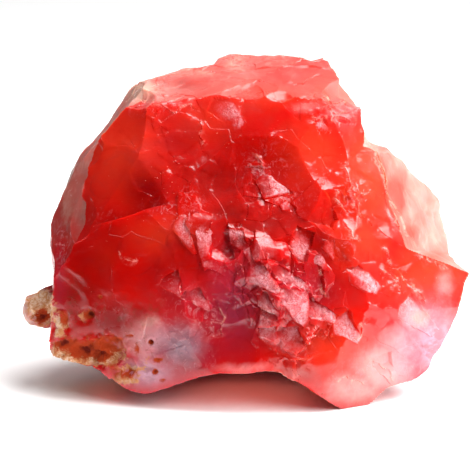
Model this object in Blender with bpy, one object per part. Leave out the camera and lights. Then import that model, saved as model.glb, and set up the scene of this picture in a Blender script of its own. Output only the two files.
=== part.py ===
# A broken agate nodule: one rough chunk of red carnelian agate, with its natural rind left on the back and sides.
# The surface is a distance from MIDDLE along every direction: a rounded body drawn from its outline, cut by the
# large flat breaks, hollowed by shell-shaped scars, and finished with the small chips and flakes.
import math

import bmesh
import bpy
import numpy as np

MM = 0.001
NODE_NAME = "agate_nodule"

# Layout frame, in millimetres: across to the right, up along the broken face, and back into the stone.
FACE_LEAN = math.radians(12.0)  # how far the layout plane leans back from upright
SIGHT_ACROSS = -1.6  # marks are laid out as seen from this point in front of the face
SIGHT_UP = 24.7
SIGHT_AWAY = 320.0
MIDDLE = np.array([0.0, 24.0, 0.0])
FLOOR_DROP = 3.05  # how far the layout's lowest line lies under the floor
BASE_ACROSS = -0.15  # middle of the finished stone's footprint, which becomes the origin
BASE_BACK = 6.18

SPHERE_LEVELS = 7
TRIANGLES = 9400

# Outline as seen from the front: across, up, and how far back the rim lies there.
OUTLINE = (
    (-28.0, 16.0, -1), (-27.6, 19.0, 0), (-28.0, 23.3, 1), (-27.7, 26.1, 1), (-26.3, 30.3, 1), (-24.9, 33.7, 1),
    (-23.4, 36.9, 1), (-22.0, 38.6, 2), (-19.6, 41.1, 2), (-19.0, 42.3, 2), (-18.4, 44.0, 3), (-17.3, 45.4, 4),
    (-15.1, 46.4, 4), (-12.3, 47.6, 5), (-8.7, 48.3, 6), (-4.7, 48.9, 7), (-3.9, 49.7, 8), (-2.3, 50.3, 8),
    (0.6, 50.1, 8), (4.1, 50.0, 7), (5.1, 50.3, 6), (7.0, 50.0, 6), (8.9, 49.4, 5), (10.9, 49.9, 4),
    (11.7, 49.3, 3), (12.7, 47.6, 2), (14.1, 45.4, 0), (16.3, 42.6, -1), (16.4, 40.4, 0), (17.4, 38.0, 5),
    (19.9, 37.1, 8), (22.0, 35.4, 8), (24.1, 32.9, 8), (26.3, 30.9, 7), (27.7, 29.0, 6), (28.9, 27.1, 5),
    (29.3, 25.4, 4), (29.3, 22.6, 3), (30.0, 20.9, 0), (31.9, 19.4, -2), (31.0, 16.9, -4), (30.1, 13.3, -5),
    (28.1, 9.0, -6), (27.1, 7.3, -7), (26.3, 5.7, -8), (24.6, 3.9, -9), (22.0, 2.9, -11), (20.6, 2.3, -12),
    (19.1, 0.8, -13), (17.4, -0.6, -14), (14.1, -0.6, -14), (12.0, 0.6, -13), (8.4, 3.1, -12), (4.9, 4.9, -11),
    (2.7, 5.3, -11), (-1.6, 5.3, -10), (-6.6, 4.6, -9), (-9.4, 3.6, -8), (-12.3, 2.6, -6), (-14.4, 2.0, -5),
    (-16.6, 2.6, -5), (-19.4, 4.3, -5), (-22.0, 6.0, -5), (-24.4, 6.7, -5), (-27.3, 7.6, -4), (-28.0, 9.7, -4),
    (-27.9, 12.0, -3),
)
FRONT_DEPTH = 22.0
BACK_DEPTH = 17.0
ROUNDING = 2.6  # 2 would be an ellipse in depth, more is squarer

# The full rounded body behind the face: across, up, how far back its middle lies, and radius.
BODY_LUMPS = (
    (-9.5, 21.0, 3.5, 16.5),
    (8.0, 22.5, 3.0, 17.5),
    (-3.0, 30.0, 6.0, 15.0),
    (-5.0, 16.6, 11.0, 11.6),
    (9.0, 16.8, 10.5, 11.8),
    (2.0, 18.0, 9.5, 13.0),
)
# Large breaks: a point on each (across, up, back), its facing as a turn to the right and a lift in degrees, and
# the radius of its slight bulge, 0 where it is flat.
BREAKS = {
    "left_cheek": (-17.7, 36.8, -8.7, -38, 21, 0),
    "upper_front": (0.1, 44.0, -8.1, 0, 20, 0),
    "right_smooth": (17.8, 32.8, -8.2, 42, 20, 0),
    "left_ledge": (-12.3, 44.0, -8.0, -10, 64, 0),
    "right_ledge": (5.8, 45.9, -5.3, 5, 58, 0),
    "left_rind": (-24.0, 28.5, -7.6, -56, 18, 0),
    "left_rind_top": (-19.5, 40.2, -5.7, -78, 39, 0),
    "lower_cheek": (-15.5, 20.5, -13.4, -18, -2, 90),
    "middle": (-0.9, 16.9, -14.8, 2, 3, 0),
    "right_lobe": (25.7, 19.3, -7.2, 36, 11, 0),
    "lower_right": (26.3, 9.0, -6.5, 38, -16, 90),
    "lower_front": (10.6, 8.3, -15.0, 6, -12, 90),
    "back_left": (-14.0, 26.0, 16.5, -150, 14, 60),
    "back_right": (17.5, 24.2, 17.3, 140, 6, 70),
}
# A step broken in where two planes meet in an inner corner: point, turn and lift of each plane.
STEPS = {
    "right_rind": ((20.3, 31.1, -6.8, 60, 20), (27.0, 21.4, -4.8, 66, 59)),
    "cheek_notch": ((-15.0, 35.0, -11.3, -17, 8.4), (-13.7, 28.7, -14.1, -110, 74)),
}

# Hollows cut next: seen at (across, up), turn, lift, radius of the rim and depth.
FACE_HOLLOWS = (
    (-6.9, 41.5, 0, 18, 5.5, 0.25),
    (-0.9, 35.4, 5, 8, 7.0, 0.9),
    (10.6, 38.3, 10, 10, 4.5, 0.6),
    (11.4, 29.7, 18, 10, 4.5, 0.8),
    (-16.9, 43.1, -20, 52, 2.4, 0.35),
    (-11.4, 43.9, -5, 56, 2.8, 0.35),
    (-0.4, 45.4, 0, 54, 3.4, 0.45),
    (4.4, 44.1, 10, 52, 1.6, 0.25),
    (15.1, 42.6, 30, 48, 2.4, 0.25),
    (-21.4, 36.9, -50, 20, 2.4, 0.3),
    (-22.9, 29.0, -45, 10, 2.8, 0.35),
    (19.7, 30.3, 48, 18, 2.6, 0.3),
)
# The raised hackly ridge down the face, as lumps with many flat sides: across, up, back and size.
RIDGE_LUMPS = (
    (-0.9, 22.0, -11.8, 3.8),
    (3.4, 19.4, -10.8, 6.3),
    (4.0, 15.0, -10.2, 7.1),
    (7.8, 18.4, -10.4, 5.9),
    (6.8, 12.2, -10.0, 6.3),
)
LUMP_SIDES = 24
LUMP_CUT_IN = (0.8, 1.0)  # distance of a lump's sides from its middle, as shares of its size
LUMP_UNEVEN = 0.2
CRAG_LEAST = 0.1  # a lump shows where it stands out by at least this
# The knob of crust low on the left, as round lumps.
KNOB_LUMPS = (
    (-30.3, 13.9, -1.0, 2.15),
    (-28.4, 15.0, -1.0, 2.3),
    (-29.2, 12.9, -1.0, 1.6),
    (-31.2, 15.3, -1.6, 0.9),
    (-28.3, 16.4, -1.8, 1.0),
    (-27.2, 12.6, -2.5, 1.0),
)
LOW_HOLLOWS = (
    (-2.6, 9.6, -6, -4, 6.0, 0.9),
    (-3.4, 14.7, -6, -2, 4.0, 0.6),
    (-3.3, 23.6, 0, 0, 2.4, 1.2),
    (-22.9, 8.4, -16, -36, 2.4, 0.8),
    (-19.7, 9.1, -8, -38, 2.0, 0.8),
    (-17.4, 6.6, 0, -30, 1.2, 0.4),
)
# Small chips with a flat bottom and broken sides: from (across, up) to (across, up), half width, turn, lift
# and how far the chip's floor stands above the surface round it.
CHIPS = (
    (1.6, 24.0, 4.7, 21.7, 1.15, 8, 20, 0.0),
    (7.6, 24.4, 7.9, 22.0, 1.45, 14, 20, 0.0),
    (-0.1, 23.0, 1.1, 20.0, 0.55, -20, 12, 0.1),
    (-2.0, 25.0, -0.3, 23.0, 0.75, -8, 14, 0.0),
    (1.3, 20.6, 4.3, 16.9, 0.75, -10, 18, 0.15),
    (4.4, 19.6, 8.3, 17.3, 0.8, 6, 22, 0.2),
    (5.6, 16.1, 8.0, 13.1, 1.6, 5, 20, 0.2),
    (2.1, 15.7, 3.7, 13.9, 0.75, -14, 16, 0.1),
    (2.4, 13.6, 4.3, 12.1, 0.65, -12, 16, 0.1),
    (9.6, 14.6, 12.0, 12.9, 1.0, 12, 20, 0.15),
    (13.0, 11.9, 15.3, 10.3, 1.15, 14, 20, 0.15),
    (9.7, 12.6, 11.1, 11.6, 0.6, 30, -6, 0.0),
    (2.1, 11.3, 3.9, 8.9, 0.7, -10, 18, 0.1),
    (5.0, 10.7, 8.1, 7.4, 1.35, 8, 18, 0.1),
    (15.6, 19.1, 17.9, 17.3, 1.25, 20, 24, 0.1),
    (11.4, 23.6, 12.4, 21.3, 0.5, 20, 10, 0.1),
    (9.9, 21.3, 11.3, 20.0, 0.6, 0, 20, 0.1),
    (2.0, 32.0, 6.0, 31.0, 0.75, 5, 22, 0.1),
    (5.3, 28.9, 6.6, 28.4, 0.5, 10, 22, 0.1),
    (-3.9, 43.4, -1.4, 41.0, 1.35, -5, 18, 0.0),
    (10.3, 40.6, 11.7, 39.6, 0.55, 10, 18, 0.05),
    (1.6, 35.7, 2.3, 34.6, 0.45, -10, 14, 0.05),
    (-8.9, 29.9, -7.0, 27.7, 0.95, 8, 22, 0.15),
    (-7.6, 28.0, -5.6, 24.9, 1.05, 14, 18, 0.2),
    (-6.1, 25.1, -4.7, 20.9, 0.85, 18, 14, 0.2),
    (-5.7, 20.9, -3.4, 19.4, 0.6, 10, 10, 0.1),
    (-11.4, 18.7, -9.4, 16.3, 0.6, -14, 16, 0.1),
    (-9.0, 16.3, -5.4, 14.6, 0.6, 4, 20, 0.1),
    (7.7, 29.0, 12.0, 26.6, 1.3, 24, 0, -0.25),
    (9.4, 20.9, 10.3, 17.1, 1.1, 30, 4, -0.3),
    (-4.0, 26.6, -2.6, 22.0, 1.0, 24, -4, -0.25),
    (12.7, 42.3, 14.9, 41.1, 0.8, 20, 12, -0.1),
    (18.6, 6.6, 20.6, 4.6, 0.9, 25, 6, 0.0),
    (22.7, 13.7, 26.0, 11.7, 1.3, 20, 10, 0.1),
    (-13.7, 33.1, -13.0, 29.7, 2.0, 14, -2, -0.5),
)
CHIP_SIDES = 5
CHIP_UNEVEN = 0.28  # how far each side turns away from its even place, as a share of the step between sides
CHIP_REACH = (0.85, 1.05)
CHIP_DEEPEST = 0.55
CHIP_HIGHEST = 0.3
CHIP_WOBBLE = 0.2  # unevenness of a chip's edge
CHIP_WOBBLE_SIZE = 1.1
CHIP_FRONT = -3.0  # chips lie on the face, in front of this depth

# Where the break is hackly: across, up, how far it spreads, and how strong it is from 0 to 1.
ROUGH_SPOTS = (
    (3.4, 16.9, 6.4, 1.0),
    (2.3, 31.1, 4.6, 0.6),
    (14.9, 29.7, 3.1, 0.7),
    (9.4, 42.3, 4.6, 0.8),
    (-1.6, 24.0, 2.9, 0.8),
    (21.3, 18.3, 3.4, 0.6),
    (10.6, 11.1, 5.0, 0.7),
    (-12.3, 45.4, 4.3, 0.5),
    (-9.4, 11.1, 4.3, 0.6),
    (14.1, 21.1, 4.3, 0.5),
    (6.3, 6.9, 4.3, 0.7),
    (22.0, 8.3, 4.3, 0.5),
)
ROUGH_ELSEWHERE = 0.07
ROUGH_BEHIND = 0.5

# Relief, in millimetres: the size of each kind and how far it stands out.
BROAD_FLAKES = 6.0
BROAD_HEIGHT = 0.38
BROAD_LEVEL = 1.0
BROAD_HIGHEST = 0.15
BROAD_LEAST = 0.25
SMALL_FLAKES = 2.2
SMALL_HEIGHT = 0.3
SMALL_LEVEL = 0.4
CHIP_CALM = 0.5  # share of the flakes that is left on a chip's floor
RIND_BUMPS = 5.0
RIND_HEIGHT = 0.5
RIND_GRAINS = 2.1
GRAIN_HEIGHT = 0.3
BENDS = ((0.28, 0.016), (0.08, 0.004))  # size and amount by which the rays bend, as shares of the radius
UNEVEN = ((0.09, 0.16), (0.03, 0.07))  # size and height of the unevenness along the borders of the cuts
PARALLEL = 1e-6  # a ray this nearly along a plane never reaches it
FLOOR_SNAP = 0.02
SHARP_ANGLE = 25.0
SEED = 31


def layout_point(across, up, back):
    """The point this far back that shows at (across, up) from the sight point."""
    shrink = (SIGHT_AWAY + back) / SIGHT_AWAY
    return np.array([SIGHT_ACROSS + (across - SIGHT_ACROSS) * shrink, SIGHT_UP + (up - SIGHT_UP) * shrink, back])


def laid_out(points):
    """Where each point shows in the layout: across and up."""
    grow = SIGHT_AWAY / (SIGHT_AWAY + points[:, 2])
    across = SIGHT_ACROSS + (points[:, 0] - SIGHT_ACROSS) * grow
    up = SIGHT_UP + (points[:, 1] - SIGHT_UP) * grow
    return across, up


def facing(turn, lift):
    """The direction that looks out of the face, turned to the right and lifted by these degrees."""
    turn, lift = math.radians(turn), math.radians(lift)
    return np.array([math.sin(turn) * math.cos(lift), math.sin(lift), -math.cos(turn) * math.cos(lift)])


def hashed(cell_x, cell_y, cell_z, seed):
    """A fixed random number from -1 to 1 for each cell."""
    mixed = cell_x.astype(np.uint32) * np.uint32(374761393) + cell_y.astype(np.uint32) * np.uint32(668265263)
    mixed = mixed + cell_z.astype(np.uint32) * np.uint32(2246822519) + np.uint32(seed * 326648991 % 2**32)
    mixed ^= mixed >> np.uint32(15)
    mixed *= np.uint32(2246822519)
    mixed ^= mixed >> np.uint32(13)
    mixed *= np.uint32(3266489917)
    mixed ^= mixed >> np.uint32(16)
    return mixed.astype(np.float64) / 2**31 - 1


def noise(points, size, seed):
    """Smooth noise from -1 to 1 with features of this size."""
    scaled = points / size
    cell = np.floor(scaled).astype(np.int64)
    part = scaled - cell
    part = part * part * (3 - 2 * part)
    cell = cell + 50000
    total = 0
    for step in np.ndindex(2, 2, 2):
        share = 1
        for axis in range(3):
            share = share * (part[:, axis] if step[axis] else 1 - part[:, axis])
        total = total + share * hashed(*(cell + step).T, seed)
    return total


def flaked(points, size, seed, tilt=0.35):
    """The lowest of many shallow bowls, one in each cell: smooth flake scars that meet in sharp ridges."""
    scaled = points / size
    cell = np.floor(scaled).astype(np.int64)
    lowest = np.full(len(points), np.inf)
    for step in np.ndindex(3, 3, 3):
        near = cell + step - 1
        key = (near + 50000).T
        away = [scaled[:, k] - near[:, k] - 0.5 - 0.42 * hashed(*key, seed + k) for k in range(3)]
        bowl = away[0] ** 2 + away[1] ** 2 + away[2] ** 2
        slope = sum(away[k] * hashed(*key, seed + 3 + k) for k in range(3))
        lowest = np.minimum(lowest, bowl + tilt * slope + 0.2 * hashed(*key, seed + 6))
    return lowest * size


def reach_plane(rays, normal, distance):
    """How far along each ray a plane lies, and whether the ray leaves the stone through it."""
    toward = rays @ normal
    return distance / np.where(np.abs(toward) > PARALLEL, toward, PARALLEL), toward > 0


class Stone:
    """The distance of the surface from MIDDLE along any direction, built up cut by cut."""

    def __init__(self):
        rim = np.array([layout_point(*point) for point in OUTLINE]) - MIDDLE
        angle = np.arctan2(rim[:, 1], rim[:, 0])
        order = np.argsort(angle)
        self.rim = rim[order]
        self.rim_angle = angle[order]
        self.cuts = []
        self.chips = []

    def body(self, rays):
        """The rounded body inside the outline."""
        angle = np.arctan2(rays[:, 1], rays[:, 0])
        index = np.searchsorted(self.rim_angle, angle) % len(self.rim)
        start, end = self.rim[index - 1], self.rim[index]
        side = end - start
        towards = np.stack([np.cos(angle), np.sin(angle)], 1)
        reach = start[:, 0] * side[:, 1] - start[:, 1] * side[:, 0]
        reach = reach / (towards[:, 0] * side[:, 1] - towards[:, 1] * side[:, 0])
        passed = towards * reach[:, None] - start[:, :2]
        share = np.hypot(*passed.T) / np.hypot(side[:, 0], side[:, 1])
        rim_back = start[:, 2] + side[:, 2] * share
        sideways = np.hypot(rays[:, 0], rays[:, 1]) / reach
        back = rays[:, 2] - rim_back * sideways
        deep = np.abs(back) / np.where(back < 0, FRONT_DEPTH, BACK_DEPTH)
        return (sideways**ROUNDING + deep**ROUNDING) ** (-1 / ROUNDING)

    def radius(self, rays, bent):
        """The surface along each ray. The cuts follow the slightly bent rays, so that no ridge is straight."""
        found = self.body(rays)
        broken = np.zeros(len(rays), bool)
        uneven = sum(height * noise(rays, size, SEED + 90) for size, height in UNEVEN)
        for kind, centre, size, is_break in self.cuts:
            if kind == "planes":
                edge = np.zeros(len(rays))
                for normal, distance in zip(centre, size):
                    reach, leaves = reach_plane(bent, normal, distance)
                    edge = np.maximum(edge, np.where(leaves, reach, np.inf))
                change = edge + uneven < found
            elif kind == "crag":
                into = np.zeros(len(rays))
                out = np.full(len(rays), np.inf)
                for normal, distance in zip(centre, size):
                    reach, leaves = reach_plane(bent, normal, distance)
                    out = np.where(leaves, np.minimum(out, reach), out)
                    into = np.where(leaves, into, np.maximum(into, reach))
                edge = np.where(out > into, out, 0)
                change = edge + uneven > found + CRAG_LEAST
            else:
                toward = bent @ centre
                inside = toward * toward - (centre @ centre - size * size)
                half = np.sqrt(np.maximum(inside, 0))
                ahead = (inside > 0) & ((toward > 0) | (kind == "bulge"))
                edge = toward - half if kind == "hollow" else toward + half
                change = ahead & (edge > found if kind == "lump" else edge + uneven < found)
            found = np.where(change, edge, found)
            broken = np.where(change, is_break, broken)
        return found, broken

    def seen(self, across, up):
        """The point of the surface so far that shows at (across, up)."""
        sight = np.array([SIGHT_ACROSS, SIGHT_UP, -SIGHT_AWAY])
        line = np.array([across, up, 0.0]) - sight
        line /= np.linalg.norm(line)
        distance = np.linspace(SIGHT_AWAY - 45, SIGHT_AWAY + 45, 200)
        for _ in range(2):
            points = sight + distance[:, None] * line - MIDDLE
            length = np.linalg.norm(points, axis=1)
            rays = points / length[:, None]
            first = int(np.argmax(length < self.radius(rays, rays)[0]))
            distance = np.linspace(distance[first - 1], distance[first], 40)
        return points[first]

    def break_off(self, point, normal, bulge=0):
        if bulge:
            self.cuts.append(("bulge", point - normal * bulge, bulge, True))
        else:
            self.cuts.append(("planes", [normal], [point @ normal], True))

    def step_in(self, planes):
        """Breaks off what lies outside both planes."""
        normals = [facing(turn, lift) for _, _, _, turn, lift in planes]
        points = [layout_point(across, up, back) - MIDDLE for across, up, back, _, _ in planes]
        self.cuts.append(("planes", normals, [point @ normal for point, normal in zip(points, normals)], True))

    def hollow_out(self, across, up, turn, lift, rim, depth):
        size = (rim * rim + depth * depth) / (2 * depth)
        centre = self.seen(across, up) + facing(turn, lift) * (size - depth)
        self.cuts.append(("hollow", centre, size, True))

    def add_lump(self, across, up, back, size):
        centre = layout_point(across, up, back) - MIDDLE
        self.cuts.append(("lump", centre, size, False))

    def add_crag(self, number, across, up, back, size):
        """A lump with many flat sides."""
        centre = layout_point(across, up, back) - MIDDLE
        random = np.random.default_rng(number + SEED)
        normals = []
        distances = []
        for k in range(LUMP_SIDES):
            height = 1 - (2 * k + 1) / LUMP_SIDES
            turned = k * math.pi * (3 - math.sqrt(5))
            away = math.sqrt(1 - height * height)
            normal = np.array([away * math.cos(turned), height, away * math.sin(turned)])
            normal += random.uniform(-LUMP_UNEVEN, LUMP_UNEVEN, 3)
            normal /= np.linalg.norm(normal)
            normals.append(normal)
            distances.append(centre @ normal + size * random.uniform(*LUMP_CUT_IN))
        self.cuts.append(("crag", normals, distances, True))

    def add_chip(self, start, end, half_width, turn, lift, rise):
        """A flat facet with an uneven many-sided outline round the stretch from start to end."""
        start, end = np.array(start), np.array(end)
        middle = (start + end) / 2
        floor = self.seen(*middle)
        floor = floor * (1 + rise / np.linalg.norm(floor))
        normal = facing(turn, lift)
        random = np.random.default_rng(len(self.chips) + SEED)
        along = math.atan2(*(end - start)[::-1])
        half_length = np.linalg.norm(end - start) / 2 + half_width
        sides = []
        for k in range(CHIP_SIDES):
            angle = along + 2 * math.pi * (k + random.uniform(-CHIP_UNEVEN, CHIP_UNEVEN)) / CHIP_SIDES
            reach = math.hypot(half_length * math.cos(angle - along), half_width * math.sin(angle - along))
            sides.append((np.array([math.cos(angle), math.sin(angle)]), reach * random.uniform(*CHIP_REACH)))
        self.chips.append((middle, sides, normal, floor @ normal))

    def chip_away(self, rays, found):
        """Cuts or lifts the surface to each chip's floor inside its outline."""
        points = MIDDLE + rays * found[:, None]
        front = np.nonzero(points[:, 2] < CHIP_FRONT)[0]
        place = np.stack(laid_out(points[front]), 1)
        for axis in range(2):
            place[:, axis] += CHIP_WOBBLE * noise(points[front], CHIP_WOBBLE_SIZE, SEED + 50 + axis)
        nearest = np.ones(len(front))
        owner = np.full(len(front), -1)
        for number, (middle, sides, _, _) in enumerate(self.chips):
            away = np.zeros(len(front))
            for towards, reach in sides:
                away = np.maximum(away, (place - middle) @ towards / reach)
            closer = away < nearest
            nearest[closer] = away[closer]
            owner[closer] = number
        for number, (_, _, normal, distance) in enumerate(self.chips):
            mine = front[owner == number]
            floor = distance / (rays[mine] @ normal)
            found[mine] = np.clip(floor, found[mine] - CHIP_DEEPEST, found[mine] + CHIP_HIGHEST)
        chipped = np.zeros(len(rays), bool)
        chipped[front[owner >= 0]] = True
        return chipped


def shape_stone():
    stone = Stone()
    for lump in BODY_LUMPS:
        stone.add_lump(*lump)
    for across, up, back, turn, lift, bulge in BREAKS.values():
        stone.break_off(layout_point(across, up, back) - MIDDLE, facing(turn, lift), bulge)
    for planes in STEPS.values():
        stone.step_in(planes)
    for hollow in FACE_HOLLOWS:
        stone.hollow_out(*hollow)
    for number, lump in enumerate(RIDGE_LUMPS):
        stone.add_crag(number, *lump)
    for lump in KNOB_LUMPS:
        stone.add_lump(*lump)
    for hollow in LOW_HOLLOWS:
        stone.hollow_out(*hollow)
    for x0, y0, x1, y1, half_width, turn, lift, rise in CHIPS:
        stone.add_chip((x0, y0), (x1, y1), half_width, turn, lift, rise)
    return stone


def roughness(points):
    """How hackly the break is at each point, from 0 to 1."""
    across, up = laid_out(points)
    rough = np.full(len(points), ROUGH_ELSEWHERE)
    for x, y, spread, strength in ROUGH_SPOTS:
        rough = np.maximum(rough, strength * np.exp(-((across - x) ** 2 + (up - y) ** 2) / spread**2))
    return np.where(points[:, 2] < 0, rough, ROUGH_BEHIND)


def surface(stone, rays):
    """The finished surface points, in the layout frame."""
    bent = rays.copy()
    for number, (size, amount) in enumerate(BENDS):
        for axis in range(3):
            bent[:, axis] += amount * noise(rays, size, SEED + 10 * number + axis)
    bent /= np.linalg.norm(bent, axis=1)[:, None]
    found, broken = stone.radius(rays, bent)
    chipped = stone.chip_away(rays, found)
    points = MIDDLE + rays * found[:, None]
    rough = roughness(points)
    broad = np.minimum(flaked(points, BROAD_FLAKES, SEED) - BROAD_LEVEL, BROAD_HIGHEST)
    small = flaked(points, SMALL_FLAKES, SEED + 10) - SMALL_LEVEL
    flakes = BROAD_HEIGHT * broad * (BROAD_LEAST + rough) + SMALL_HEIGHT * small * rough
    flakes = flakes * np.where(chipped, CHIP_CALM, 1.0)
    bumps = RIND_HEIGHT * noise(points, RIND_BUMPS, SEED + 20) - GRAIN_HEIGHT
    bumps += GRAIN_HEIGHT * noise(points, RIND_GRAINS, SEED + 21)
    found = found + np.where(broken | chipped, flakes, bumps)
    return MIDDLE + rays * found[:, None]


def standing(points):
    """Layout points turned upright, set on the floor and centred, with flat feet where the stone meets it."""
    across, up, back = points.T
    depth = back * math.cos(FACE_LEAN) + up * math.sin(FACE_LEAN)
    height = up * math.cos(FACE_LEAN) - back * math.sin(FACE_LEAN) - FLOOR_DROP
    return np.stack([across - BASE_ACROSS, depth - BASE_BACK, np.maximum(height, 0)], 1)


def agate_material():
    material = bpy.data.materials.new("red_agate")
    material.use_nodes = True
    shader = material.node_tree.nodes["Principled BSDF"]
    shader.inputs["Base Color"].default_value = (0.62, 0.03, 0.015, 1)
    shader.inputs["Roughness"].default_value = 0.3
    shader.inputs["Metallic"].default_value = 0
    shader.inputs["Subsurface Weight"].default_value = 0.6
    shader.inputs["Subsurface Radius"].default_value = (1.0, 0.15, 0.1)
    shader.inputs["Subsurface Scale"].default_value = 4 * MM
    return material


def thinned(node):
    """The node's mesh with fewer triangles where it is flat, and its feet still exactly on the floor."""
    modifier = node.modifiers.new("thin_out", "DECIMATE")
    modifier.ratio = TRIANGLES / len(node.data.polygons)
    graph = bpy.context.evaluated_depsgraph_get()
    mesh = bpy.data.meshes.new_from_object(node.evaluated_get(graph))
    node.modifiers.clear()
    node.data = mesh
    for vertex in mesh.vertices:
        if vertex.co.z < FLOOR_SNAP * MM:
            vertex.co.z = 0
    return mesh


def build():
    for old in list(bpy.data.objects):
        bpy.data.objects.remove(old)
    mesh = bpy.data.meshes.new(NODE_NAME)
    sphere = bmesh.new()
    bmesh.ops.create_icosphere(sphere, subdivisions=SPHERE_LEVELS, radius=1)
    sphere.to_mesh(mesh)
    sphere.free()
    flat = np.empty(len(mesh.vertices) * 3, np.float32)
    mesh.vertices.foreach_get("co", flat)
    rays = flat.reshape(-1, 3)[:, [0, 2, 1]].astype(np.float64)  # the sphere's depth becomes the layout's back
    rays /= np.linalg.norm(rays, axis=1)[:, None]
    points = standing(surface(shape_stone(), rays)) * MM
    mesh.vertices.foreach_set("co", points.astype(np.float32).ravel())
    mesh.update()
    mesh.materials.append(agate_material())
    node = bpy.data.objects.new(NODE_NAME, mesh)
    bpy.context.scene.collection.objects.link(node)
    mesh = thinned(node)
    mesh.shade_smooth()
    mesh.set_sharp_from_angle(angle=math.radians(SHARP_ANGLE))


build()
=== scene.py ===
# A broken chunk of red carnelian agate on a pale studio table.
# The stone is one closed mesh: how far it reaches from its middle in every direction, cut and chipped
# step by step.
import math

import bmesh
import bpy
import mathutils
import numpy as np
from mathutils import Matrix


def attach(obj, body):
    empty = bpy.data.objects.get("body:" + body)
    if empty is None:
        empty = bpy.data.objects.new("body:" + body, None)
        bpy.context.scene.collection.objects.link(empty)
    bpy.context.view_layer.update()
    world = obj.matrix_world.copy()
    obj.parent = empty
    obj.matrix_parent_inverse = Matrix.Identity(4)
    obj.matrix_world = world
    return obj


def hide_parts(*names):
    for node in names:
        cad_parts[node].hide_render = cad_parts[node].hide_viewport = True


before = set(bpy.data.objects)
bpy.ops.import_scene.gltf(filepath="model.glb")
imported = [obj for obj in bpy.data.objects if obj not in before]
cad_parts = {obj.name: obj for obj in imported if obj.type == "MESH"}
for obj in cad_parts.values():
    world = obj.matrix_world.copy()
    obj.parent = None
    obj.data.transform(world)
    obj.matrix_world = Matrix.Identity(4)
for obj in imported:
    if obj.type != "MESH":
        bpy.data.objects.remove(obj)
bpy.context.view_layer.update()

mm = 0.001

# Layout frame in millimetres: across to the right, up along the broken face, back into the stone.
layout = dict(
    lean=math.radians(12.0),  # the layout leans back from upright by this
    sight=np.array([-1.6, 24.7, -320.0]),  # marks are laid out as seen from here
    floorDrop=3.05,
    base=np.array([-0.15, 6.18]),  # middle of the footprint
)

stone = dict(
    middle=np.array([0.0, 24.0, 0.0]),
    seed=31,
    levels=9,
    quickLevels=8,
    triangles=192000,
    frontDepth=22.0,
    backDepth=17.0,
    rounding=2.6,  # 2 would be an ellipse in depth, more is squarer
    bends=((0.28, 0.016), (0.08, 0.004)),  # size and amount by which the rays bend
    uneven=((0.09, 0.16), (0.03, 0.07)),  # size and height of the unevenness along the borders of the cuts
    sharpAngle=30.0,
)

# Outline from the front: across, up, and how far back the rim lies there.
outline = (
    (-28, 16, -1), (-27.6, 19, 0), (-28, 23.3, 1), (-27.7, 26.1, 1), (-26.3, 30.3, 1), (-24.9, 33.7, 1),
    (-23.4, 36.9, 1), (-22, 38.6, 2), (-19.6, 41.1, 2), (-19, 42.3, 2), (-18.4, 44, 3), (-17.3, 45.4, 4),
    (-15.1, 46.4, 4), (-12.3, 47.6, 5), (-8.7, 48.3, 6), (-4.7, 48.9, 7), (-3.9, 49.7, 8), (-2.3, 50.3, 8),
    (0.6, 50.1, 8), (4.1, 50, 7), (5.1, 50.3, 6), (7, 50, 6), (8.9, 49.4, 5), (10.9, 49.9, 4),
    (11.7, 49.3, 3), (12.7, 47.6, 2), (14.1, 45.4, 0), (16.3, 42.6, -1), (16.4, 40.4, 0), (17.4, 38, 5),
    (19.9, 37.1, 8), (22, 35.4, 8), (24.1, 32.9, 8), (26.3, 30.9, 7), (27.7, 29, 6), (28.9, 27.1, 5),
    (29.3, 25.4, 4), (29.3, 22.6, 3), (30, 20.9, 0), (31.9, 19.4, -2), (31, 16.9, -4), (30.1, 13.3, -5),
    (28.1, 9, -6), (27.1, 7.3, -7), (26.3, 5.7, -8), (24.6, 3.9, -9), (22, 2.9, -11), (20.6, 2.3, -12),
    (19.1, 0.8, -13), (17.4, -0.6, -14), (14.1, -0.6, -14), (12, 0.6, -13), (8.4, 3.1, -12),
    (4.9, 4.9, -11), (2.7, 5.3, -11), (-1.6, 5.3, -10), (-6.6, 4.6, -9), (-9.4, 3.6, -8), (-12.3, 2.6, -6),
    (-14.4, 2, -5), (-16.6, 2.6, -5), (-19.4, 4.3, -5), (-22, 6, -5), (-24.4, 6.7, -5), (-27.3, 7.6, -4),
    (-28, 9.7, -4), (-27.9, 12, -3),
)
# Full rounded body behind the face: across, up, back, radius.
bodyLumps = (
    (-9.5, 21.0, 3.5, 16.5), (8.0, 22.5, 3.0, 17.5), (-3.0, 30.0, 6.0, 15.0),
    (-5.0, 16.6, 11.0, 11.6), (9.0, 16.8, 10.5, 11.8), (2.0, 18.0, 9.5, 13.0),
)
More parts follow.
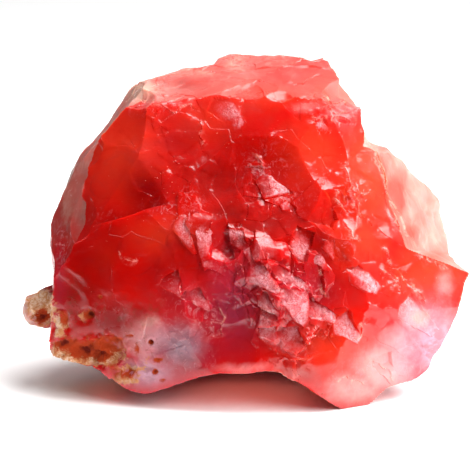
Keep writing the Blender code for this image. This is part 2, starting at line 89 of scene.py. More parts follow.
# Large breaks: a point on each (across, up, back), its turn and lift in degrees, the radius of its bulge,
# and how much pale skin it still has.
breaks = dict(
    leftCheek=(-17.7, 36.8, -8.7, -38, 21, 0, 0.0),
    upperFront=(0.1, 44.0, -8.1, 0, 20, 0, 0.0),
    rightSmooth=(17.8, 32.8, -8.2, 42, 20, 0, 0.0),
    leftLedge=(-12.3, 44.0, -8.0, -10, 64, 0, 0.45),
    rightLedge=(5.8, 45.9, -5.3, 5, 58, 0, 0.3),
    leftRind=(-24.0, 28.5, -7.6, -56, 18, 0, 0.6),
    leftRindTop=(-19.5, 40.2, -5.7, -78, 39, 0, 0.55),
    lowerCheek=(-15.5, 20.5, -13.4, -18, -2, 90, 0.0),
    middle=(-0.9, 16.9, -14.8, 2, 3, 0, 0.0),
    rightLobe=(25.7, 19.3, -7.2, 36, 11, 0, 0.0),
    lowerRight=(26.3, 9.0, -6.5, 38, -16, 90, 0.0),
    lowerFront=(10.6, 8.3, -15.0, 6, -12, 90, 0.0),
    backLeft=(-14.0, 26.0, 16.5, -150, 14, 60, 0.9),
    backRight=(17.5, 24.2, 17.3, 140, 6, 70, 0.9),
)
# Steps broken in where two planes meet in an inner corner: the same values for each plane, then the share
# of skin.
steps = dict(
    rightRind=((20.3, 31.1, -6.8, 60, 20), (27.0, 21.4, -4.8, 66, 59), 1.0),
    cheekNotch=((-15.0, 35.0, -11.3, -17, 8.4), (-13.7, 28.7, -14.1, -110, 74), 0.0),
)
# Hollows: seen at (across, up), turn, lift, radius of the rim and depth.
faceHollows = (
    (-6.9, 41.5, 0, 18, 5.5, 0.25), (-0.9, 35.4, 5, 8, 7.0, 0.9),
    (10.6, 38.3, 10, 10, 4.5, 0.6), (11.4, 29.7, 18, 10, 4.5, 0.8),
    (-16.9, 43.1, -20, 52, 2.4, 0.35), (-11.4, 43.9, -5, 56, 2.8, 0.35), (-0.4, 45.4, 0, 54, 3.4, 0.45),
    (4.4, 44.1, 10, 52, 1.6, 0.25), (15.1, 42.6, 30, 48, 2.4, 0.25),
    (-21.4, 36.9, -50, 20, 2.4, 0.3), (-22.9, 29.0, -45, 10, 2.8, 0.35), (19.7, 30.3, 48, 18, 2.6, 0.3),
)
lowHollows = (
    (-2.6, 9.6, -6, -4, 6.0, 0.9), (-3.4, 14.7, -6, -2, 4.0, 0.6), (-3.3, 23.6, 0, 0, 2.4, 1.2),
    (-22.9, 8.4, -16, -36, 2.4, 0.8), (-19.7, 9.1, -8, -38, 2.0, 0.8), (-17.4, 6.6, 0, -30, 1.2, 0.4),
    (-13.7, 9.3, -10, 0, 0.5, 0.35), (-30.0, 13.0, -10, -10, 0.9, 0.5), (-22.6, 13.3, -20, 0, 0.9, 0.35),
)
ridgeLumps = (
    (-0.9, 22.0, -11.8, 3.8), (3.4, 19.4, -10.8, 6.3), (4.0, 15.0, -10.2, 7.1), (7.8, 18.4, -10.4, 5.9),
    (6.8, 12.2, -10.0, 6.3),
)
cragging = dict(sides=24, cutIn=(0.8, 1.0), uneven=0.2, margin=1.3, least=0.1)
knobLumps = (
    (-30.3, 13.9, -1.0, 2.15), (-28.4, 15.0, -1.0, 2.3), (-29.2, 12.9, -1.0, 1.6), (-31.2, 15.3, -1.6, 0.9),
    (-28.3, 16.4, -1.8, 1.0), (-27.2, 12.6, -2.5, 1.0),
)
# Small chips with a flat floor: from (across, up) to (across, up), half width, turn, lift, how far the floor
# stands above the surface round it, and how frosted it is, a pale colour that is partly painted sheen.
chips = (
    (1.9, 23.7, 4.6, 21.7, 1.1, 8, 13, 0, 0.5), (7.6, 24.4, 7.9, 22, 1.3, 14, 20, 0, 0.7),
    (-0.1, 23, 1.1, 20, 0.5, -4, 28, 0.1, 0.5), (-2, 25, -0.3, 23, 0.75, -8, 14, 0, 0.6),
    (1.3, 20.6, 4.3, 16.9, 0.75, -10, 18, 0.15, 1), (4.4, 19.6, 8.3, 17.3, 0.8, 6, 22, 0.2, 0.7),
    (5.6, 16.1, 8, 13.1, 1.4, 5, 20, 0.2, 1), (2.1, 15.7, 3.7, 13.9, 0.75, -14, 16, 0.1, 1),
    (2.4, 13.6, 4.3, 12.1, 0.65, -2, 30, 0.1, 0.6), (9.6, 14.6, 12, 12.9, 1, 12, 22, 0.15, 0.9),
    (13, 11.9, 15.3, 10.3, 1.05, 14, 22, 0.15, 1.1), (9.7, 12.6, 11.1, 11.6, 0.6, 30, -6, 0, 0.3),
    (2.1, 11.3, 3.9, 8.9, 0.7, -10, 18, 0.1, 0.8), (5.3, 10.4, 7.9, 7.7, 1.2, 8, 20, 0.1, 0.5),
    (15.6, 19.1, 17.9, 17.3, 1.15, 16, 27, 0.1, 1.1), (11.4, 23.6, 12.4, 21.3, 0.5, 20, 10, 0.1, 0.5),
    (9.9, 21.3, 11.3, 20, 0.6, 0, 20, 0.1, 0.6), (2, 32, 6, 31, 0.75, 5, 22, 0.1, 0.9),
    (5.3, 28.9, 6.6, 28.4, 0.5, 10, 22, 0.1, 0.8), (-3.9, 43.4, -1.4, 41, 1.35, -5, 18, 0, 0.65),
    (10.3, 40.6, 11.7, 39.6, 0.55, 10, 18, 0.05, 0.7), (1.6, 35.7, 2.3, 34.6, 0.45, -10, 14, 0.05, 0.5),
    (-8.9, 29.9, -7, 27.7, 0.95, 8, 14, 0.1, 0.25), (-7.6, 28, -5.6, 24.9, 1.05, 14, 12, 0.15, 0.25),
    (-7.1, 26.6, -5.6, 20.6, 0.65, 16, 14, 0.2, 0.9), (-9.3, 27.7, -7.3, 21.7, 0.35, 10, 16, 0.15, 0.7),
    (-5.7, 20.9, -3.4, 19.4, 0.6, 10, 10, 0.1, 0.5), (-11.4, 18.7, -9.4, 16.3, 0.6, -14, 16, 0.1, 0.5),
    (-9, 16.3, -5.4, 14.6, 0.6, 4, 20, 0.1, 0.6), (7.7, 29, 12, 26.6, 1.3, 24, 0, -0.25, 0),
    (9.4, 20.9, 10.3, 17.1, 1.1, 30, 4, -0.3, 0), (-4, 26.6, -2.6, 22, 1, 24, -4, -0.25, 0),
    (12.7, 42.3, 14.9, 41.1, 0.8, 20, 12, -0.1, 0.2), (18.6, 6.6, 20.6, 4.6, 0.9, 25, 6, 0, 0.3),
    (22.7, 13.7, 26, 11.7, 1.4, 20, 14, 0.1, 1),
)
# Thin steps along a line: how wide and how high, then its points. The high side is on the left of the line.
scars = (
    (1.1, 0.30, ((12.7, 35.4), (13.9, 34.7), (14.6, 31.9), (15.3, 29.0), (16.9, 26.6))),
    (0.9, 0.22, ((12.6, 31.1), (13.3, 29.1), (14.3, 27.9))),
    (1.0, 0.30, ((13.9, 26.6), (14.6, 24.6), (16.1, 23.3))),
    (0.9, 0.25, ((19.1, 23.3), (20.1, 22.3), (20.7, 19.9))),
    (1.2, 0.28, ((18.6, 20.0), (20.3, 18.7), (22.3, 16.7))),
    (1.2, 0.25, ((21.6, 20.0), (23.7, 17.9), (25.6, 14.3))),
    (0.8, 0.22, ((10.6, 21.1), (11.0, 18.3), (10.9, 16.7), (11.7, 16.3))),
    (0.8, 0.22, ((15.9, 12.6), (16.1, 10.9), (15.6, 9.4))),
    (1.3, 0.22, ((-13.7, 43.6), (-10.9, 42.3), (-8.6, 43.1), (-6.6, 42.3))),
    (1.0, 0.20, ((-7.1, 41.4), (-6.1, 39.1), (-6.7, 36.9))),
    (1.2, 0.25, ((7.7, 42.3), (10.3, 41.1), (12.3, 41.6), (15.1, 40.6))),
    (1.0, 0.22, ((0.9, 36.9), (2.3, 35.4), (2.3, 33.7))),
    (1.2, 0.10, ((-18.7, 22.7), (-17.1, 21.3), (-15.0, 21.1))),
    (1.2, 0.25, ((18.0, 6.9), (19.7, 5.7), (21.1, 3.7))),
    (1.4, 0.22, ((12.0, 3.3), (14.1, 4.6), (17.4, 3.4))),
    (1.1, 0.22, ((-4.4, 15.4), (-3.4, 12.9), (-3.7, 10.3))),
    (0.7, 0.16, ((16.9, 40.0), (18.9, 34.7), (20.0, 31.1), (22.3, 25.1), (23.1, 23.1))),
    (0.6, 0.14, ((17.7, 38.3), (19.7, 33.7), (21.1, 30.0), (23.4, 24.6), (25.4, 22.3))),
    (0.7, 0.20, ((23.7, 22.3), (26.6, 20.9), (29.4, 19.4))),
    (0.6, 0.18, ((9.4, 43.4), (10.9, 44.0), (12.3, 43.1), (14.0, 43.7), (15.4, 42.6))),
    (0.6, 0.18, ((10.0, 42.3), (11.4, 42.7), (13.1, 42.0), (14.9, 42.3))),
)
# lip is the width of the painted highlight along each scar's edge
scarring = dict(wobble=0.5, wobbleSize=1.1, lip=0.08, falling=1.5, tapering=6)
chipping = dict(
    sides=5, uneven=0.28, reach=(0.85, 1.05), deepest=0.55, highest=0.3, wobble=0.2, wobbleSize=1.1,
    front=-3.0,
    fade=5.0, frostAndSheenMiddle=0.75, frostAndSheenLeast=0.3, frostAndSheenSlope=0.5,  # frost and its painted sheen thin to the edges and to one end
)
# Where the break is hackly: across, up, spread, strength.
roughSpots = (
    (3.4, 16.9, 6.4, 1.0), (2.3, 31.1, 4.6, 0.6), (14.9, 29.7, 3.1, 0.7), (9.4, 42.3, 4.6, 0.5),
    (-1.6, 24.0, 2.9, 0.8), (21.3, 18.3, 3.4, 0.6), (10.6, 11.1, 5.0, 0.7), (-12.3, 45.4, 4.3, 0.5),
    (-9.4, 11.1, 4.3, 0.4), (14.1, 21.1, 4.3, 0.5), (6.3, 6.9, 4.3, 0.7), (22.0, 8.3, 4.3, 0.3),
)
# Size and height of each kind of relief, in millimetres.
relief = dict(
    broad=6.0, broadHeight=0.38, broadLevel=1.0, broadHighest=0.15, broadLeast=0.25,
    small=2.2, smallHeight=0.3, smallLevel=0.4,
    tiny=0.9, tinyHeight=0.3, tinyLevel=0.15, tinyPower=1.5,
    facets=3.4, facetTilt=0.10, facetLeast=0.07, facetRough=0.6,
    splinter=2.4, splinterTilt=0.75, fineSplinter=0.9, fineTilt=0.7, splinterHeight=0.22,
    splinterFrom=0.35, splinterFade=0.3,
    roughElsewhere=0.07, roughBehind=0.5, chipCalm=0.5,
    wander=4.5, wanderBy=1.6, shake=1.2, shakeBy=0.25,  # how the pattern is bent
    bumps=5.0, bumpHeight=0.5, grains=2.1, grainHeight=0.3,
    wrinkles=0.8, wrinkleHeight=0.06, wrinkleStretch=(1.0, 0.5, 1.0),
    crust=0.8, crustHeight=0.35, crustFine=0.6, pitDepth=0.7, pitFrom=0.6,
)
probing = dict(reach=45, coarse=200, fine=40)  # steps of the search for a point that is seen


def layoutPoint(across, up, back):  # the point this far back that shows at (across, up)
    sightAcross, sightUp, away = layout["sight"]
    shrink = (back - away) / -away
    return np.array([sightAcross + (across - sightAcross) * shrink, sightUp + (up - sightUp) * shrink, back])


def laidOut(points):  # where each point shows in the layout
    sightAcross, sightUp, away = layout["sight"]
    grow = -away / (points[:, 2] - away)
    return sightAcross + (points[:, 0] - sightAcross) * grow, sightUp + (points[:, 1] - sightUp) * grow


def facing(turn, lift):
    turn, lift = math.radians(turn), math.radians(lift)
    return np.array([math.sin(turn) * math.cos(lift), math.sin(lift), -math.cos(turn) * math.cos(lift)])


def hashed(cellX, cellY, cellZ, seed):  # a fixed random number from -1 to 1 for each cell
    mixed = cellX.astype(np.uint32) * np.uint32(374761393) + cellY.astype(np.uint32) * np.uint32(668265263)
    mixed = mixed + cellZ.astype(np.uint32) * np.uint32(2246822519) + np.uint32(seed * 326648991 % 2**32)
    mixed ^= mixed >> np.uint32(15)
    mixed *= np.uint32(2246822519)
    mixed ^= mixed >> np.uint32(13)
    mixed *= np.uint32(3266489917)
    mixed ^= mixed >> np.uint32(16)
    return mixed.astype(np.float64) / 2**31 - 1


def noise(points, size, seed):  # smooth, from -1 to 1
    scaled = points / size
    cell = np.floor(scaled).astype(np.int64)
    part = scaled - cell
    part = part * part * (3 - 2 * part)
    cell = cell + 50000
    total = 0
    for step in np.ndindex(2, 2, 2):
        share = 1
        for axis in range(3):
            share = share * (part[:, axis] if step[axis] else 1 - part[:, axis])
        total = total + share * hashed(*(cell + step).T, seed)
    return total


def flaked(points, size, seed, tilt=0.35):  # the lowest of many shallow bowls, which meet in sharp ridges
    scaled = points / size
    cell = np.floor(scaled).astype(np.int64)
    lowest = np.full(len(points), np.inf)
    for step in np.ndindex(3, 3, 3):
        near = cell + step - 1
        key = (near + 50000).T
        away = [scaled[:, k] - near[:, k] - 0.5 - 0.42 * hashed(*key, seed + k) for k in range(3)]
        bowl = away[0] ** 2 + away[1] ** 2 + away[2] ** 2
        slope = sum(away[k] * hashed(*key, seed + 3 + k) for k in range(3))
        lowest = np.minimum(lowest, bowl + tilt * slope + 0.2 * hashed(*key, seed + 6))
    return lowest * size


def shattered(points, size, seed, tilt):  # flat splinters, each tilted its own way, that meet in small steps
    scaled = points / size
    cell = np.floor(scaled).astype(np.int64)
    nearest = np.full(len(points), np.inf)
    height = np.zeros(len(points))
    for step in np.ndindex(3, 3, 3):
        near = cell + step - 1
        key = (near + 50000).T
        away = [scaled[:, k] - near[:, k] - 0.5 - 0.45 * hashed(*key, seed + k) for k in range(3)]
        distance = away[0] ** 2 + away[1] ** 2 + away[2] ** 2
        slope = sum(away[k] * hashed(*key, seed + 3 + k) for k in range(3))
        closer = distance < nearest
        nearest[closer] = distance[closer]
        height[closer] = (tilt * slope + 0.12 * hashed(*key, seed + 6))[closer]
    return height * size


class Stone:
    def __init__(self):
        rim = np.array([layoutPoint(*point) for point in outline]) - stone["middle"]
        angle = np.arctan2(rim[:, 1], rim[:, 0])
        order = np.argsort(angle)
        self.rim = rim[order]
        self.rimAngle = angle[order]
        self.cuts = []
        self.chips = []

    def body(self, rays):
        angle = np.arctan2(rays[:, 1], rays[:, 0])
        index = np.searchsorted(self.rimAngle, angle) % len(self.rim)
        start, end = self.rim[index - 1], self.rim[index]
        side = end - start
        towards = np.stack([np.cos(angle), np.sin(angle)], 1)
        reach = start[:, 0] * side[:, 1] - start[:, 1] * side[:, 0]
        reach = reach / (towards[:, 0] * side[:, 1] - towards[:, 1] * side[:, 0])
        passed = towards * reach[:, None] - start[:, :2]
        share = np.hypot(*passed.T) / np.hypot(side[:, 0], side[:, 1])
        rimBack = start[:, 2] + side[:, 2] * share
        sideways = np.hypot(rays[:, 0], rays[:, 1]) / reach
        back = rays[:, 2] - rimBack * sideways
        deep = np.abs(back) / np.where(back < 0, stone["frontDepth"], stone["backDepth"])
        power = stone["rounding"]
        return (sideways**power + deep**power) ** (-1 / power)

    def radius(self, rays, bent):  # the surface along each ray, whether it is broken, and its share of skin
        found = self.body(rays)
        broken = np.zeros(len(rays), bool)
        skin = np.ones(len(rays))
        uneven = sum(k * noise(rays, size, stone["seed"] + 90) for size, k in stone["uneven"])
        for kind, centre, size, isBreak, left in self.cuts:
            if kind == "flat":
                toward = bent @ centre
                edge = np.where(toward > 1e-4, size / np.maximum(toward, 1e-4), np.inf)
                change = edge + uneven < found
            elif kind == "crag":
                near = np.nonzero(bent @ size[0] > size[1])[0]
                into = np.zeros(len(near))
                out = np.full(len(near), np.inf)
                for normal, distance in centre:
                    toward = bent[near] @ normal
                    reach = distance / np.where(np.abs(toward) > 1e-6, toward, 1e-6)
                    out = np.where(toward > 0, np.minimum(out, reach), out)
                    into = np.where(toward > 0, into, np.maximum(into, reach))
                edge = np.zeros(len(rays))
                edge[near] = np.where(out > into, out, 0)
                change = edge + uneven > found + cragging["least"]
            elif kind == "step":
                edge = np.zeros(len(rays))
                for normal, distance in zip(centre, size):
                    toward = bent @ normal
                    reach = distance / np.maximum(toward, 1e-4)
                    edge = np.maximum(edge, np.where(toward > 1e-4, reach, np.inf))
                change = edge < found
            else:
                toward = bent @ centre
                inside = toward * toward - (centre @ centre - size * size)
                half = np.sqrt(np.maximum(inside, 0))
                ahead = (inside > 0) & ((toward > 0) | (kind == "bulge"))
                edge = toward - half if kind == "hollow" else toward + half
                change = ahead & (edge > found if kind == "lump" else edge + uneven < found)
            found = np.where(change, edge, found)
            broken = np.where(change, isBreak, broken)
            skin = np.where(change, skin if left is None else left, skin)
        return found, broken, skin

    def seen(self, across, up):  # the point of the surface so far that shows at (across, up)
        sight = layout["sight"]
        line = np.array([across, up, 0.0]) - sight
        line /= np.linalg.norm(line)
        distance = np.linspace(-probing["reach"], probing["reach"], probing["coarse"]) - sight[2]
        for _ in range(2):
            points = sight + distance[:, None] * line - stone["middle"]
            length = np.linalg.norm(points, axis=1)
            rays = points / length[:, None]
            first = int(np.argmax(length < self.radius(rays, rays)[0]))
            distance = np.linspace(distance[first - 1], distance[first], probing["fine"])
        return points[first]

    def breakOff(self, across, up, back, turn, lift, bulge, skin):
        point, normal = layoutPoint(across, up, back) - stone["middle"], facing(turn, lift)
        if bulge:
            self.cuts.append(("bulge", point - normal * bulge, bulge, True, skin))
        else:
            self.cuts.append(("flat", normal, point @ normal, True, skin))

    def stepIn(self, first, second, skin):
        normals = [facing(turn, lift) for _, _, _, turn, lift in (first, second)]
        points = [layoutPoint(*plane[:3]) - stone["middle"] for plane in (first, second)]
        distances = [point @ normal for point, normal in zip(points, normals)]
        self.cuts.append(("step", normals, distances, True, skin))

    def hollowOut(self, across, up, turn, lift, rim, depth):
        size = (rim * rim + depth * depth) / (2 * depth)
        centre = self.seen(across, up) + facing(turn, lift) * (size - depth)
        self.cuts.append(("hollow", centre, size, True, None))

    def addLump(self, across, up, back, size, isBreak=False, skin=1.0):
        self.cuts.append(("lump", layoutPoint(across, up, back) - stone["middle"], size, isBreak, skin))

    def addCrag(self, number, across, up, back, size):  # a lump with many flat sides
        centre = layoutPoint(across, up, back) - stone["middle"]
        random = np.random.default_rng(number + stone["seed"])
        sides = []
        for k in range(cragging["sides"]):
            height = 1 - (2 * k + 1) / cragging["sides"]
            turned = k * math.pi * (3 - math.sqrt(5))
            away = math.sqrt(1 - height * height)
            normal = np.array([away * math.cos(turned), height, away * math.sin(turned)])
            normal += random.uniform(-cragging["uneven"], cragging["uneven"], 3)
            normal /= np.linalg.norm(normal)
            sides.append((normal, centre @ normal + size * random.uniform(*cragging["cutIn"])))
        distance = np.linalg.norm(centre)
        near = math.cos(math.asin(min(cragging["margin"] * size / distance, 0.99)))
        self.cuts.append(("crag", sides, (centre / distance, near), True, 0.0))

    def addChip(self, fromAcross, fromUp, toAcross, toUp, halfWidth, turn, lift, rise, frost):
        start, end = np.array([fromAcross, fromUp]), np.array([toAcross, toUp])
        middle = (start + end) / 2
        floor = self.seen(*middle)
        floor = floor * (1 + rise / np.linalg.norm(floor))
        normal = facing(turn, lift)
        random = np.random.default_rng(len(self.chips) + stone["seed"])
        along = math.atan2(*(end - start)[::-1])
        halfLength = np.linalg.norm(end - start) / 2 + halfWidth
        sides = []
        for k in range(chipping["sides"]):
            turned = random.uniform(-chipping["uneven"], chipping["uneven"])
            angle = along + 2 * math.pi * (k + turned) / chipping["sides"]
            reach = math.hypot(halfLength * math.cos(angle - along), halfWidth * math.sin(angle - along))
            reach *= random.uniform(*chipping["reach"])
            sides.append((np.array([math.cos(angle), math.sin(angle)]), reach))
        fading = np.array([math.cos(along), math.sin(along)]) * chipping["frostAndSheenSlope"]
        fading = fading * random.choice((-1, 1)) / halfLength
        self.chips.append((middle, sides, normal, floor @ normal, frost, fading))

    def chipAway(self, rays, found):  # cuts or lifts the surface to each chip's floor inside its outline
        points = stone["middle"] + rays * found[:, None]
        front = np.nonzero(points[:, 2] < chipping["front"])[0]
        place = np.stack(laidOut(points[front]), 1)
        for axis in range(2):
            bend = noise(points[front], chipping["wobbleSize"], stone["seed"] + 50 + axis)
            place[:, axis] += chipping["wobble"] * bend
        nearest = np.ones(len(front))
        owner = np.full(len(front), -1)
        for number, (middle, sides, *_) in enumerate(self.chips):
            away = np.zeros(len(front))
            for towards, reach in sides:
                away = np.maximum(away, (place - middle) @ towards / reach)
            closer = away < nearest
            nearest[closer] = away[closer]
            owner[closer] = number
        # each chip's share of frost colour, partly painted sheen
        frostAndSheenShare = np.zeros(len(rays))
        for number, (middle, _, normal, distance, frost, fading) in enumerate(self.chips):
            mine = front[owner == number]
            floor = distance / (rays[mine] @ normal)
            found[mine] = np.clip(floor, found[mine] - chipping["deepest"], found[mine] + chipping["highest"])
            inner = np.clip(chipping["fade"] * (1 - nearest[owner == number]), 0, 1)
            along = chipping["frostAndSheenMiddle"] + (place[owner == number] - middle) @ fading
            frostAndSheenShare[mine] = frost * inner * np.clip(along, chipping["frostAndSheenLeast"], 1)
        chipped = np.zeros(len(rays), bool)
        chipped[front[owner >= 0]] = True
        return chipped, frostAndSheenShare


def scarred(points):  # how high each scar stands at each point, and how near its edge is, which sets a painted highlight along that edge
    front = np.nonzero(points[:, 2] < chipping["front"])[0]
    place = np.stack(laidOut(points[front]), 1)
    for axis in range(2):
        bend = noise(points[front], scarring["wobbleSize"], stone["seed"] + 55 + axis)
        place[:, axis] += scarring["wobble"] * bend
    height, lip = np.zeros(len(points)), np.zeros(len(points))
    for width, rise, line in scars:
        line = np.array(line)
        lengths = np.linalg.norm(np.diff(line, axis=0), axis=1)
        nearest = np.full(len(front), np.inf)
        side, along = np.zeros(len(front)), np.zeros(len(front))
        for k in range(len(lengths)):
            way = (line[k + 1] - line[k]) / lengths[k]
            passed = np.clip((place - line[k]) @ way, 0, lengths[k])
            away = place - line[k] - passed[:, None] * way
            distance = np.hypot(*away.T)
            closer = distance < nearest
            nearest[closer] = distance[closer]
            side[closer] = (way[0] * away[:, 1] - way[1] * away[:, 0])[closer]
            along[closer] = (lengths[:k].sum() + passed)[closer] / lengths.sum()
        fade = np.clip(scarring["tapering"] * along * (1 - along), 0, 1)
        raised = rise * np.clip(1 - nearest / width, 0, 1) ** scarring["falling"] * (side > 0) * fade
        height[front] = np.maximum(height[front], raised)
        lip[front] = np.maximum(lip[front], np.exp(-((nearest / scarring["lip"]) ** 2)) * fade)
    return height, lip


def shapedStone():
    rough = Stone()
    for lump in bodyLumps:
        rough.addLump(*lump)
    for cut in breaks.values():
        rough.breakOff(*cut)
    for first, second, skin in steps.values():
        rough.stepIn(first, second, skin)
    for hollow in faceHollows:
        rough.hollowOut(*hollow)
    for number, lump in enumerate(ridgeLumps):
        rough.addCrag(number, *lump)
    for lump in knobLumps:
        rough.addLump(*lump)
    for hollow in lowHollows:
        rough.hollowOut(*hollow)
    for chip in chips:
        rough.addChip(*chip)
    return rough


def spots(across, up, places):  # the strongest of several soft spots at each point
    total = np.zeros(len(across))
    for x, y, spreadAcross, spreadUp, strength in places:
        away = ((across - x) / spreadAcross) ** 2 + ((up - y) / spreadUp) ** 2
        total = np.maximum(total, strength * np.exp(-away))
    return total


